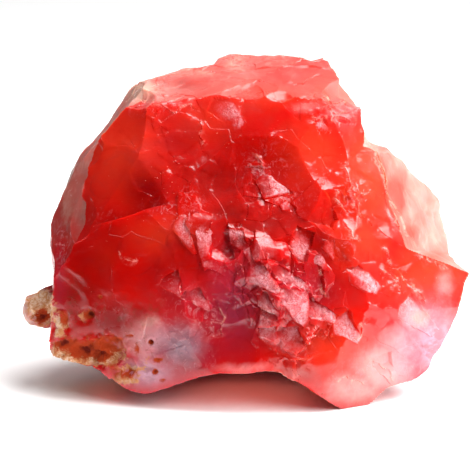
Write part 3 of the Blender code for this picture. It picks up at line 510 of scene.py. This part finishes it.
# Soft regions of colour in the stone: across, up, spread across, spread up, strength.
colourSpots = dict(
    deep=(
        (-4.4, 17.6, 2, 3, 0.6), (-23.7, 21.9, 3, 3, 0.7), (-17.3, 19, 3, 2, 0.5), (0.6, 35.4, 7, 6, 0.55),
        (-9.4, 38.3, 3.5, 4, 0.5), (-9.7, 22.3, 2.5, 2.5, 0.7), (-6.6, 9, 3, 3, 0.6),
        (-13.7, 31.1, 4, 3.2, 1), (-2, 24.3, 2.2, 4, 0.8), (-20.9, 22.6, 6, 4, 0.6), (9.4, 19, 2.4, 4.5, 1),
        (10.3, 24, 2, 2, 0.8), (-2.6, 12.6, 4.5, 7, 1), (7.7, 29, 3, 3, 0.3), (-24.4, 15.4, 4, 5, 1),
        (-19.4, 12.6, 5, 2.6, 0.9), (-13.7, 19, 4, 3, 0.5),
    ),
    # orange tone of the stone, partly painted glow of light coming through thin parts
    orange=(
        (18.4, 33.3, 5.5, 8, 1), (26.3, 18.3, 6, 5.5, 1), (9.9, 36.9, 5, 5, 0.7), (-5.9, 41.1, 5, 3, 0.4),
        (-18, 36.9, 5.5, 7, 0.6), (12, 8.3, 5.5, 4.5, 0.7), (16.3, 24, 5, 4, 0.7),
        (-12.3, 24.7, 4.5, 2.6, 0.6), (-20.1, 21.9, 2.4, 2, 0.3), (12.7, 44.7, 5, 2.5, 1),
        (2, 44.7, 9, 2, 0.6),
    ),
    violet=(
        (-2, 15.4, 4, 7, 0.75), (-9.4, 8.3, 5, 4.5, 0.9), (26.3, 9, 5, 6.5, 1), (13.4, 42.6, 3.5, 3, 0.3),
        (-13.7, 4.7, 6, 3, 0.9), (-7.3, 15.4, 4, 3, 0.4), (-27, 18.3, 1, 6, 0.5), (6.3, 15.4, 6, 6, 0.3),
    ),
    sheen=(
        (-10.1, 9.7, 2.6, 2.8, 1), (-8.4, 6.6, 3, 1.6, 0.8), (-7.7, 15, 2.4, 1.6, 0.8),
        (-11.1, 17.6, 1.2, 2, 0.6), (-5.6, 12.3, 1.8, 2.2, 0.7), (-10.6, 28, 3, 1.4, 0.5),
        (-8, 27.6, 1.6, 3, 0.6), (23.4, 6.6, 3, 3, 0.6), (19.1, 5.4, 2.6, 1.8, 0.8),
        (13.4, 23.3, 2, 1.6, 0.5), (-20.9, 27.6, 2.4, 1, 0.3), (-26.6, 23.3, 1, 3, 0.5),
        (2.7, 34, 3, 3, 0.4), (6.3, 29.7, 2.6, 2, 0.4), (12, 42.6, 3, 1.8, 0.35), (25.6, 14, 2.4, 1.6, 0.7),
        (-3, 20.9, 1.6, 2, 0.5), (10.3, 16.9, 1.6, 2.6, 0.3), (14.9, 29.7, 1.2, 3, 0.5),
        (-13.7, 42.9, 4, 1, 0.4), (-19.4, 13.3, 3, 1.6, 0.4), (7.7, 8.3, 2, 2, 0.4), (14.9, 4, 4, 2, 0.4),
    ),
    speckle=(
        (-19.4, 12.6, 5, 2.6, 1), (-15.1, 9, 4, 2.4, 0.8), (-25.1, 14, 2.4, 4, 0.9), (-13.7, 14, 3, 2, 0.5),
    ),
    salmon=(
        (7.7, 46.9, 12, 5, 1), (-5.4, 46.3, 7.5, 5, 0.9), (13.3, 44.4, 4, 4, 1.7),
        (19.7, 34.7, 1.5, 3.5, 0.9), (21.4, 29.7, 2, 3.8, 1.4), (23.4, 24.7, 2, 3, 0.9),
        (27, 21.4, 3, 1.4, 0.8),
    ),
    dusk=(
        (-24.9, 30.4, 4, 9, 0.5), (-26.9, 21.9, 4, 10, 1.3),
    ),
    # milky stone, partly painted haze of reflected light
    milk=(
        (-18.7, 34, 4.5, 7.5, 0.25), (-9.4, 9, 5, 4.5, 0.8), (-14, 5.1, 5, 3, 0.85), (12.7, 44, 3, 2, 0.1),
        (15.6, 2.6, 7, 3.5, 0.8), (27, 9.7, 5.5, 7.5, 0.85), (24.1, 12.9, 2.2, 2.5, 1.2),
        (-0.9, 5.7, 7, 1.2, 0.7), (6.3, 4.9, 5, 1.4, 0.6), (-24.4, 29.7, 2, 9, 0.3),
        (19.9, 5.7, 5.5, 4.5, 1), (18.4, 33.7, 3.2, 6, 0.35), (-16.9, 12.6, 3, 1.6, 0.3),
        (-13.7, 9.7, 5.5, 4, 0.85), (8.4, 42.9, 4, 1.5, 0.6), (22, 9, 5, 4, 0.8), (12, 4.3, 5, 1.6, 0.4),
        (28.4, 17.6, 2, 3.5, 0.7),
    ),
    crust=(
        (-29.7, 14.3, 2.6, 3.4, 1.2), (-25.1, 8, 3.6, 2.4, 1.2), (-20.9, 8, 4.8, 2.8, 1.1),
        (-17.3, 4.9, 4, 2.2, 0.8), (-26.6, 11.9, 1.6, 3, 0.9), (-22.9, 13.1, 1.6, 1.4, 0.8),
        (-13.4, 6.6, 3, 2, 0.6),
    ),
    stain=(
        (-29.6, 13, 0.8, 1.1, 1.1), (-22, 8.9, 5, 1.9, 0.75), (-25.7, 9.3, 1.5, 0.8, 1),
        (-23.4, 8.1, 2, 1, 1.3), (-20.9, 7.7, 1.8, 1, 1.2), (-18.7, 9.7, 1.6, 0.7, 0.9),
        (-26, 12.9, 0.7, 1.4, 0.8), (-19.4, 5.1, 2, 1.2, 0.55), (-12.6, 6.9, 1.2, 0.6, 0.9),
        (-13, 5.1, 0.7, 0.6, 1), (-11.9, 4, 0.9, 0.4, 0.8), (-16.9, 4.9, 1.5, 0.8, 0.7),
        (-13.7, 9.3, 0.42, 0.42, 1.6), (-22.6, 13.3, 0.9, 0.9, 1.1), (-20.9, 15.9, 0.6, 0.4, 0.9),
        (-15.6, 8.3, 0.6, 1.2, 0.8), (10.9, 1.9, 0.25, 0.12, 1.2), (-16.6, 10.3, 1, 0.4, 0.8),
    ),
    # painted shade, partly deeper colour of the stone
    shade=(
        (-8, 37.6, 6, 6, 0.45), (-1.6, 36.9, 6, 6, 0.5), (3.4, 20.9, 6, 4, 0.55), (2.7, 15.4, 5, 5, 0.5),
        (-13.7, 30.4, 4, 3.5, 0.4), (-5.9, 24.7, 2.5, 3.5, 0.7), (-8.7, 8.3, 4.5, 4, 0.9),
        (-0.9, 9, 4, 2.5, 0.3), (10.3, 24, 2.5, 2.5, 0.5), (12, 16.9, 3, 3.5, 0.5), (7.7, 10.4, 4, 3, 0.8),
        (7.7, 5.1, 3, 1.5, 0.6), (7.7, 23.1, 1.5, 1.5, 0.5), (-2.3, 14, 4, 4, 0.4), (-8, 46.1, 5, 2, 0.4),
        (24.1, 31.1, 6.5, 10, 0.6), (-18, 10.4, 5, 4, 0.5), (4.9, 35.4, 3, 2.5, 0.3),
        (-5.1, 32.6, 5.5, 5, 0.95), (-2.6, 28, 4.5, 3, 1), (3.1, 26.1, 5, 2.4, 0.75), (-6.6, 19, 4, 4, 0.6),
        (9.1, 26.1, 4.5, 3, 0.5), (12.7, 21.9, 3.5, 3, 0.5), (-14, 32.3, 4, 4, 0.55),
        (-20.9, 26.9, 3.5, 3, 0.35), (-6.6, 25.7, 4, 4, 0.75), (1.3, 25.1, 4, 3, 0.8),
        (-8.7, 19.7, 3.5, 3, 0.6), (12.7, 29, 3, 4, 0.45), (-22.3, 19, 3.5, 3.5, 0.4),
        (-11.6, 24.7, 4, 3, 0.35), (-9.4, 15.4, 4, 3, 0.4), (-0.9, 43.3, 6, 2.4, 0.35),
    ),
    cream=(
        (-15.4, 45.4, 4, 2.4, 0.75), (-1.4, 48.9, 2.6, 2, 0.5), (-8, 48, 7, 1, 0.5),
        (24.6, 12.9, 2.4, 1.8, 0.7), (-25.6, 29, 1.4, 6, 0.5), (-13.7, 12.3, 3, 1.6, 0.4),
        (-24.9, 8, 2, 1.5, 0.4),
    ),
    bared=(
        (-24.9, 17.6, 3.6, 5.2, 1.6), (-26.6, 21.1, 1.8, 3.5, 1),
    ),
)
# Low down, in front of the back, the stone is bare. The edge of the skin wanders by these sizes and amounts.
skinning = dict(redBelow=7.0, redBefore=9.0, fade=4.0, ragged=((6.0, 4.0), (2.0, 1.5)))
colouring = dict(fromBack=4.0, toBack=14.0)  # the spots fade out between these depths


def surface(rough, rays):  # finished points in the layout, and the masks that the finish reads
    seed = stone["seed"]
    bent = rays.copy()
    for number, (size, amount) in enumerate(stone["bends"]):
        for axis in range(3):
            bent[:, axis] += amount * noise(rays, size, seed + 10 * number + axis)
    bent /= np.linalg.norm(bent, axis=1)[:, None]
    found, broken, skin = rough.radius(rays, bent)
    chipped, frost = rough.chipAway(rays, found)
    points = stone["middle"] + rays * found[:, None]
    across, up = laidOut(points)
    hackly = spots(across, up, [(x, y, size, size, strength) for x, y, size, strength in roughSpots])
    hackly = np.maximum(relief["roughElsewhere"], hackly)
    hackly = np.where(points[:, 2] < 0, hackly, relief["roughBehind"])
    wander = [noise(points, relief["wander"], seed + 60 + k) for k in range(3)]
    wander = np.stack(wander, 1) * relief["wanderBy"]
    broad = flaked(points + wander, relief["broad"], seed) - relief["broadLevel"]
    broad = np.minimum(broad, relief["broadHighest"])
    small = flaked(points, relief["small"], seed + 10) - relief["smallLevel"]
    flakes = relief["broadHeight"] * broad * (relief["broadLeast"] + hackly)
    flakes = flakes + relief["smallHeight"] * small * hackly
    facets = shattered(points + wander, relief["facets"], seed + 80, relief["facetTilt"])
    flakes += (relief["facetLeast"] + relief["facetRough"] * hackly) * facets
    splinters = np.clip((hackly - relief["splinterFrom"]) / relief["splinterFade"], 0, 1) * (points[:, 2] < 0)
    shake = [noise(points, relief["shake"], seed + 70 + k) for k in range(3)]
    bentPoints = points + np.stack(shake, 1) * relief["shakeBy"]
    coarse = shattered(bentPoints, relief["splinter"], seed + 40, relief["splinterTilt"])
    flakes += relief["splinterHeight"] * splinters * coarse
    fine = shattered(bentPoints, relief["fineSplinter"], seed + 45, relief["fineTilt"])
    flakes += relief["splinterHeight"] * splinters * fine
    tiny = flaked(points, relief["tiny"], seed + 30) - relief["tinyLevel"]
    flakes += relief["tinyHeight"] * tiny * hackly ** relief["tinyPower"]
    flakes = flakes * np.where(chipped, relief["chipCalm"], 1.0)
    bumps = relief["bumpHeight"] * noise(points, relief["bumps"], seed + 20) - relief["grainHeight"]
    bumps += relief["grainHeight"] * noise(points, relief["grains"], seed + 21)
    creased = points * np.array(relief["wrinkleStretch"]) + wander
    bumps += relief["wrinkleHeight"] * (0.5 - 2 * np.abs(noise(creased, relief["wrinkles"], seed + 22)))
    bare = np.where(chipped, 1.0, np.where(broken, np.clip(1.6 - 2 * skin, 0, 1), 0.0))
    scarHeight, lip = scarred(points)
    found = found + bumps + bare * (flakes - bumps) + scarHeight
    points = stone["middle"] + rays * found[:, None]
    height = standing(points)[:, 2]
    ragged = sum(k * noise(points, size, seed + 27) for size, k in skinning["ragged"])
    under = np.clip((height + ragged - skinning["redBelow"]) / skinning["fade"], 0, 1)
    behind = np.clip((points[:, 2] + ragged - skinning["redBefore"]) / skinning["fade"], 0, 1)
    under = np.maximum(under, behind)
    masks = dict(skin=np.where(chipped, 0, skin * under), frost=frost, lip=lip)
    fade = np.clip((colouring["toBack"] - points[:, 2]) / (colouring["toBack"] - colouring["fromBack"]), 0, 1)
    for name, places in colourSpots.items():
        masks[name] = spots(across, up, places) * fade
    masks["skin"] = masks["skin"] * np.clip(1 - masks.pop("bared"), 0, 1)
    lumpy = noise(points, relief["crust"], seed + 25)
    lumpy = lumpy + relief["crustFine"] * noise(points, relief["crust"] / 2, seed + 26)
    found = found + relief["crustHeight"] * lumpy * np.clip(masks["crust"] * 2 - 0.5, 0, 1)
    found = found - relief["pitDepth"] * np.clip(masks["stain"] - relief["pitFrom"], 0, 1)
    points = stone["middle"] + rays * found[:, None]
    return points, masks


def standing(points):  # turned upright, set on the floor and centred, with flat feet
    across, up, back = points.T
    depth = back * math.cos(layout["lean"]) + up * math.sin(layout["lean"])
    height = up * math.cos(layout["lean"]) - back * math.sin(layout["lean"]) - layout["floorDrop"]
    return np.stack([across - layout["base"][0], depth - layout["base"][1], np.maximum(height, 0)], 1)


def makeStone():
    mesh = bpy.data.meshes.new("agate_stone")
    sphere = bmesh.new()
    levels = stone["levels"]
    bmesh.ops.create_icosphere(sphere, subdivisions=levels, radius=1)
    sphere.to_mesh(mesh)
    sphere.free()
    flat = np.empty(len(mesh.vertices) * 3, np.float32)
    mesh.vertices.foreach_get("co", flat)
    rays = flat.reshape(-1, 3)[:, [0, 2, 1]].astype(np.float64)
    rays /= np.linalg.norm(rays, axis=1)[:, None]
    points, masks = surface(shapedStone(), rays)
    mesh.vertices.foreach_set("co", (standing(points) * mm).astype(np.float32).ravel())
    for name, values in masks.items():
        mesh.attributes.new(name, "FLOAT", "POINT").data.foreach_set("value", values.astype(np.float32))
    mesh.update()
    piece = bpy.data.objects.new("agate_stone", mesh)
    bpy.context.scene.collection.objects.link(piece)
    if len(mesh.polygons) > stone["triangles"]:
        thin = piece.modifiers.new("thin", "DECIMATE")
        thin.ratio = stone["triangles"] / len(mesh.polygons)
        graph = bpy.context.evaluated_depsgraph_get()
        thinned = bpy.data.meshes.new_from_object(piece.evaluated_get(graph))
        piece.modifiers.clear()
        piece.data = thinned
        bpy.data.meshes.remove(mesh)
    piece.data.shade_smooth()
    piece.data.set_sharp_from_angle(angle=math.radians(stone["sharpAngle"]))
    print("stone made,", len(piece.data.polygons), "triangles")
    return piece


class Wire:  # one socket of a material, with arithmetic that adds Math nodes
    def __init__(self, socket):
        self.socket = socket

    def math(self, operation, first, second=0.0, clamp=False):
        tree = self.socket.id_data
        node = tree.nodes.new("ShaderNodeMath")
        node.operation = operation
        node.use_clamp = clamp
        for place, value in zip(node.inputs, (first, second)):
            if isinstance(value, Wire):
                tree.links.new(value.socket, place)
            else:
                place.default_value = value
        return Wire(node.outputs[0])

    def __add__(self, other):
        return self.math("ADD", self, other)

    def __sub__(self, other):
        return self.math("SUBTRACT", self, other)

    def __rsub__(self, other):
        return self.math("SUBTRACT", other, self)

    def __mul__(self, other):
        return self.math("MULTIPLY", self, other)

    def atLeast(self, other):
        return self.math("MAXIMUM", self, other)

    def held(self):  # between 0 and 1
        return self.math("ADD", self, 0.0, clamp=True)

    __radd__ = __add__
    __rmul__ = __mul__


class Finish:  # a material being wired up
    def __init__(self, name):
        self.material = bpy.data.materials.new(name)
        self.material.use_nodes = True
        self.tree = self.material.node_tree
        self.tree.nodes.clear()

    def node(self, kind, settings=None, values=None, out=0):
        node = self.tree.nodes.new(kind)
        for name, value in (settings or {}).items():
            if name == "stops":
                while len(node.color_ramp.elements) < len(value):
                    node.color_ramp.elements.new(1.0)
                for element, (place, colour) in zip(node.color_ramp.elements, value):
                    element.position = place
                    element.color = (*colour, 1.0)
            else:
                setattr(node, name, value)
        for name, value in (values or {}).items():
            if isinstance(value, Wire):
                self.tree.links.new(value.socket, node.inputs[name])
            else:
                node.inputs[name].default_value = value
        return Wire(node.outputs[out])

    def mask(self, name):
        return self.node("ShaderNodeAttribute", {"attribute_name": name}, out="Fac")

    def place(self, squeeze):  # position on the stone in millimetres, squeezed along each axis
        where = self.node("ShaderNodeTexCoord", out="Object")
        scale = tuple(k / mm for k in squeeze)
        return self.node("ShaderNodeVectorMath", {"operation": "MULTIPLY"}, {0: where, 1: scale})

    def noise(self, where, size, detail, rough, bend=0.0):
        values = {"Vector": where, "Scale": 1 / size, "Detail": detail, "Roughness": rough}
        return self.node("ShaderNodeTexNoise", {}, values | {"Distortion": bend})

    def spread(self, value, low, high, bottom=0.0, top=1.0):  # low to high becomes bottom to top
        values = {"Value": value, "From Min": low, "From Max": high, "To Min": bottom, "To Max": top}
        return self.node("ShaderNodeMapRange", {"interpolation_type": "SMOOTHSTEP"}, values)

    def mixed(self, share, first, second, way="MIX"):
        settings = {"data_type": "RGBA", "blend_type": way}
        first = first if isinstance(first, Wire) else (*first, 1.0)
        second = second if isinstance(second, Wire) else (*second, 1.0)
        return self.node("ShaderNodeMix", settings, {0: share, 6: first, 7: second}, out=2)

    def bump(self, height, distance, strength=1.0, under=None):
        values = {"Height": height, "Distance": distance * mm, "Strength": strength}
        if under is not None:
            values["Normal"] = under
        return self.node("ShaderNodeBump", {}, values)

    def shader(self, values):
        return self.node("ShaderNodeBsdfPrincipled", {}, values)

    def done(self, shader):
        output = self.tree.nodes.new("ShaderNodeOutputMaterial")
        self.tree.links.new(shader.socket, output.inputs["Surface"])
        return self.material


agateLook = dict(
    red=(0.52, 0.004, 0.002),
    deepRed=(0.30, 0.0005, 0.0006),
    orangeRed=(0.76, 0.038, 0.012),
    violetRed=(0.34, 0.028, 0.065),
    milk=(0.80, 0.29, 0.27),
    lavender=(0.58, 0.31, 0.41),
    skinPink=(0.56, 0.25, 0.21),
    skinCream=(0.57, 0.38, 0.32),
    salmon=(0.50, 0.075, 0.05),
    dusk=(0.27, 0.06, 0.05),
    frost=(0.66, 0.29, 0.32),
    cream=(0.66, 0.42, 0.32),
    shade=(0.45, 0.55, 0.55),
    lip=(0.95, 0.42, 0.34),
    greyViolet=(0.26, 0.10, 0.13),
    umber=(0.16, 0.035, 0.015),
    glowShare=0.85,
    glowRadius=(1.0, 0.22, 0.16),
    glowDepth=3.0,  # millimetres
    index=1.52,
    roughness=0.11,
)
crustLook = dict(
    cream=(0.74, 0.52, 0.38),
    ochre=(0.56, 0.24, 0.10),
    brown=(0.12, 0.005, 0.001),
    rust=(0.36, 0.035, 0.006),
    glowShare=0.3,
    glowRadius=(1.0, 0.5, 0.3),
    glowDepth=1.0,
    roughness=0.8,
    gloss=0.15,
)
# Each pattern in the stone: how it is squeezed along each axis, its size in millimetres, then its detail,
# roughness and bend.
patterns = dict(
    clouds=((1, 1, 1), 9.0, 3.0, 0.55, 0.4),
    wisps=((0.7, 1.0, 1.3), 2.6, 5.0, 0.6, 1.0),
    fine=((1, 1, 1), 1.3, 4.0, 0.6),
    patches=((1, 1, 1), 4.0, 4.0, 0.6, 0.5),
    streaks=((0.9, 0.5, 0.35), 1.6, 5.0, 0.6, 1.2),
    lines=((1, 1, 1), 1.1, 3.0, 0.6, 0.6),
    flecks=((1.6, 0.7, 0.7), 0.5, 5.0, 0.7, 0.8),
    gleam=((1, 1, 1), 2.2, 3.0, 0.6),
    strokes=((1.0, 0.8, 0.8), 1.1, 6.0, 0.7, 1.6),
    dots=((1, 1, 1), 0.9, 5.0, 0.75, 0.5),
    lipHighlightGaps=((1, 1, 1), 0.9, 4.0, 0.7),
    paintedGlints=((1.0, 1.0, 1.7), 0.42, 2.0, 0.5),
    grain=((1, 1, 1), 0.35, 4.0, 0.65),
    scratches=((0.6, 0.6, 2.5), 0.5, 3.0, 0.6, 0.8),
    speckle=((1, 1, 1), 0.8, 5.0, 0.7, 0.6),
)


def agateFinish():
    look = agateLook
    made = Finish("red_agate")
    grown = {name: made.noise(made.place(squeeze), *rest) for name, (squeeze, *rest) in patterns.items()}
    clouds, wisps, fine, patches = (grown[name] for name in ("clouds", "wisps", "fine", "patches"))
    mask = {name: made.mask(name) for name in ("skin", "frost", "lip", *colourSpots) if name != "bared"}
    drift = (clouds - 0.5) * 0.7 + (wisps - 0.5) * 0.5

    # Red zones, then the milky and violet ones; the milky ones are partly painted haze of reflected light.
    # orange zones: partly painted glow of light through thin parts
    red = made.mixed((mask["orange"] + drift).held(), look["red"], look["orangeRed"])
    red = made.mixed((mask["deep"] + drift).held(), red, look["deepRed"])
    red = made.mixed((mask["violet"] + drift * 0.6).held() * 0.8, red, look["violetRed"])
    milkyAndHazy = made.mixed(mask["violet"].held(), look["milk"], look["lavender"])
    greyer = made.spread(wisps, 0.40, 0.62) * mask["violet"].held() * 0.7
    milkyAndHazy = made.mixed(greyer, milkyAndHazy, look["greyViolet"])
    red = made.mixed(made.spread(mask["milk"] + (fine - 0.5) * 0.25 + drift * 0.3, 0.30, 1.0), red, milkyAndHazy)

    # The pale skin, pinker and duller in places.
    streaks = made.spread(grown["streaks"], 0.48, 0.68)
    skinColour = made.mixed(made.spread(patches, 0.36, 0.70), look["skinPink"], look["skinCream"])
    skinColour = made.mixed((mask["salmon"] * 1.2 - streaks * 0.4).held(), skinColour, look["salmon"])
    skinColour = made.mixed((mask["dusk"] * 1.2 - streaks * 0.3).held(), skinColour, look["dusk"])
    skinShare = made.spread(mask["skin"] + (fine - 0.5) * 0.3, 0.0, 1.0)
    colour = made.mixed(skinShare, red, skinColour)
    creamy = made.spread(mask["cream"] + drift * 0.6 + (fine - 0.5) * 0.3, 0.25, 1.0)
    colour = made.mixed(creamy, colour, look["cream"])
    # painted shade: darker where the stone lies in shade, partly deeper colour
    colour = made.mixed((mask["shade"] + drift * 0.4).held(), colour, look["shade"], "MULTIPLY")

    # Frosted chips and the sheen of broken faces, both partly painted sheen; brown dots; painted highlights
    # and glints.
    lines = grown["lines"] - 0.5
    cracks = made.spread(lines * lines, 0.0, 0.0012)
    flecks = made.spread(grown["flecks"], 0.36, 0.60)
    frost = made.spread(mask["frost"] * 1.15 + (fine - 0.5) * 0.9 - 0.12, 0.05, 1.0)
    frost = frost * (cracks * 0.6 + 0.4) * (flecks * 0.55 + 0.45)
    frost = frost * made.spread(grown["gleam"], 0.30, 0.58, 0.45, 1.0)
    frost = frost.atLeast(mask["sheen"] * made.spread(grown["strokes"], 0.50, 0.66) * 0.65)
    dots = made.spread(grown["dots"], 0.50, 0.66) * mask["speckle"] * 0.8
    colour = made.mixed(dots, colour, look["umber"])
    colour = made.mixed(frost.held(), colour, look["frost"])
    # painted highlight along each scar's edge
    lip = (mask["lip"] * made.spread(grown["lipHighlightGaps"], 0.42, 0.62)).held() * 0.6
    colour = made.mixed(lip, colour, look["lip"])
    # painted glints: tiny bright specks in the highlight colour
    paintedGlints = made.spread(grown["paintedGlints"], 0.70, 0.76) * made.spread(patches, 0.5, 0.6) * 0.35
    colour = made.mixed(paintedGlints, colour, look["lip"])

    matt = frost * 0.15 + skinShare * 0.2 + mask["salmon"] * 0.2 + mask["speckle"] * 0.2
    roughness = look["roughness"] + matt + (fine - 0.5) * 0.15
    normal = made.bump(grown["grain"] * 0.5 + grown["scratches"] * 0.5, 0.05, 0.6)
    normal = made.bump(frost, 0.10, 0.8, under=normal)
    agate = made.shader({
        "Base Color": colour, "Roughness": roughness, "IOR": look["index"], "Normal": normal,
        "Subsurface Weight": look["glowShare"], "Subsurface Radius": look["glowRadius"],
        "Subsurface Scale": look["glowDepth"] * mm,
    })

    # The crust: cream and ochre, rust in its hollows.
    look = crustLook
    crust, stain, speckle = mask["crust"], mask["stain"], grown["speckle"]
    tone = made.mixed(made.spread(speckle + stain * 0.3, 0.42, 0.60), look["cream"], look["ochre"])
    tone = made.mixed(made.spread(stain + (speckle - 0.5) * 1.1, 0.15, 0.50), tone, look["rust"])
    tone = made.mixed(made.spread(stain + (fine - 0.5) * 1.6, 0.80, 1.20), tone, look["brown"])
    crusty = made.shader({
        "Base Color": tone, "Roughness": look["roughness"], "Specular IOR Level": look["gloss"],
        "Normal": made.bump(speckle, 0.25, 0.8), "Subsurface Weight": look["glowShare"],
        "Subsurface Radius": look["glowRadius"], "Subsurface Scale": look["glowDepth"] * mm,
    })
    cover = made.spread(crust + (speckle - 0.5) * 1.3 + (wisps - 0.5) * 0.8, 0.50, 0.75)
    cover = cover.atLeast(made.spread(stain + (speckle - 0.5) * 0.9, 0.45, 0.75))
    return made.done(made.node("ShaderNodeMixShader", {}, {0: cover, 1: agate, 2: crusty}))


studio = dict(
    # how bright the tent is that way, and how much darker it is in reflections
    back=0.6, camera=0.01, above=0.25, right=0.4, leftDark=0.8, mirroredDark=0.6,
    box=(0.20, 0.03, 0.40), boxSize=(0.48, 0.30), boxPower=4.6,
    fill=(0.32, -0.25, 0.28), fillSize=(0.35, 0.35), fillPower=2.5,
    rear=(0.0, 0.95, 0.6), rearSize=(1.2, 0.8), rearPower=1.85, rearTilt=math.radians(-20),
    glow=(1.0, 0.22, 0.15), glowSize=(0.040, 0.013), glowPlace=(-0.001, -0.010, 0.0026), glowPower=4.8e-4,
    card=(-0.8, -1.5, 0.8, -0.05, 0.001),  # from (x, y) to (x, y), at this height
    table=(-2.0, -2.0, 2.0, 2.0, 0.0),
    tableColour=(0.95, 0.945, 0.945),
    sensor=36.0,
    viewWidth=470 / 7,  # millimetres that the view takes in where the stone stands
)


def addLamp(name, place, turn, size, power, colour=(1.0, 1.0, 1.0)):
    light = bpy.data.lights.new(name, "AREA")
    light.shape = "RECTANGLE"
    light.size, light.size_y = size
    light.energy = power
    light.color = colour
    lamp = bpy.data.objects.new(name, light)
    lamp.location = place
    lamp.rotation_euler = turn
    lamp.visible_camera = False
    bpy.context.scene.collection.objects.link(lamp)
    return lamp


def addSheet(name, left, near, right, far, height, finish, colour, roughness):
    mesh = bpy.data.meshes.new(name)
    corners = [(x, y, height) for x, y in ((left, near), (right, near), (right, far), (left, far))]
    mesh.from_pydata(corners, [], [(0, 1, 2, 3)])
    sheet = bpy.data.objects.new(name, mesh)
    bpy.context.scene.collection.objects.link(sheet)
    made = Finish(finish)
    mesh.materials.append(made.done(made.shader({"Base Color": (*colour, 1.0), "Roughness": roughness})))
    return sheet


def makeTent():  # soft light from all round, brighter behind, above and to the right
    world = bpy.data.worlds.new("tent")
    bpy.context.scene.world = world
    world.use_nodes = True
    tree = world.node_tree
    tree.nodes.clear()
    facingWay = tree.nodes.new("ShaderNodeTexCoord")
    split = tree.nodes.new("ShaderNodeSeparateXYZ")
    tree.links.new(facingWay.outputs["Generated"], split.inputs[0])
    right, behind, above = (Wire(split.outputs[axis]) for axis in "XYZ")
    ramp = behind * 0.5 + 0.5
    bright = studio["camera"] + (studio["back"] - studio["camera"]) * ramp.math("SMOOTH_MIN", ramp * 1.6, 1.0)
    bright = bright * (1 - (right * -1.4).held() * studio["leftDark"])
    bright = bright + (above * 2.0 - 0.9).held() * studio["above"]
    bright = bright + (right * 1.5 - 0.5).held() * studio["right"]
    path = tree.nodes.new("ShaderNodeLightPath")
    seen = Wire(path.outputs["Is Camera Ray"])
    mirrored = Wire(path.outputs["Is Glossy Ray"])
    strength = bright * (1 - mirrored * studio["mirroredDark"]) * (1 - seen) + seen
    shell = tree.nodes.new("ShaderNodeBackground")
    tree.links.new(strength.socket, shell.inputs["Strength"])
    output = tree.nodes.new("ShaderNodeOutputWorld")
    tree.links.new(shell.outputs[0], output.inputs[0])


def makeStudio():
    makeTent()
    x, _, z = studio["box"]
    addLamp("softbox", studio["box"], (0, math.atan2(x, z), 0), studio["boxSize"], studio["boxPower"])
    toFill = mathutils.Vector(studio["fill"]).to_track_quat("Z", "Y").to_euler()
    fill = addLamp("fill", studio["fill"], toFill, studio["fillSize"], studio["fillPower"])
    fill.visible_glossy = False
    addLamp("rearBox", studio["rear"], (studio["rearTilt"], 0, 0), studio["rearSize"], studio["rearPower"])
    # what the stone lets through on to the table
    glow = studio["glowPlace"], (0, 0, 0), studio["glowSize"], studio["glowPower"], studio["glow"]
    addLamp("lightThroughStone", *glow)

    # keeps the bright table out of the low reflections
    card = addSheet("darkCard", *studio["card"], "card_black", (0.0, 0.0, 0.0), 1.0)
    card.visible_camera = card.visible_diffuse = card.visible_shadow = False
    table = addSheet("table", *studio["table"], "table_white", studio["tableColour"], 0.9)

    camera = bpy.data.cameras.new("camera")
    camera.sensor_width = studio["sensor"]
    camera.lens = studio["sensor"] * -layout["sight"][2] / studio["viewWidth"]
    camera.clip_start = 0.01
    eye = bpy.data.objects.new("camera", camera)
    eye.location = standing(layout["sight"][None, :])[0] * mm
    eye.rotation_euler = (math.pi / 2 - layout["lean"], 0, 0)
    bpy.context.scene.collection.objects.link(eye)
    bpy.context.scene.camera = eye
    bpy.context.scene.view_settings.view_transform = "Standard"
    print("studio made")


makeStudio()
piece = makeStone()
piece.data.materials.append(agateFinish())
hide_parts("agate_nodule")
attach(piece, "root")
print("finish made")
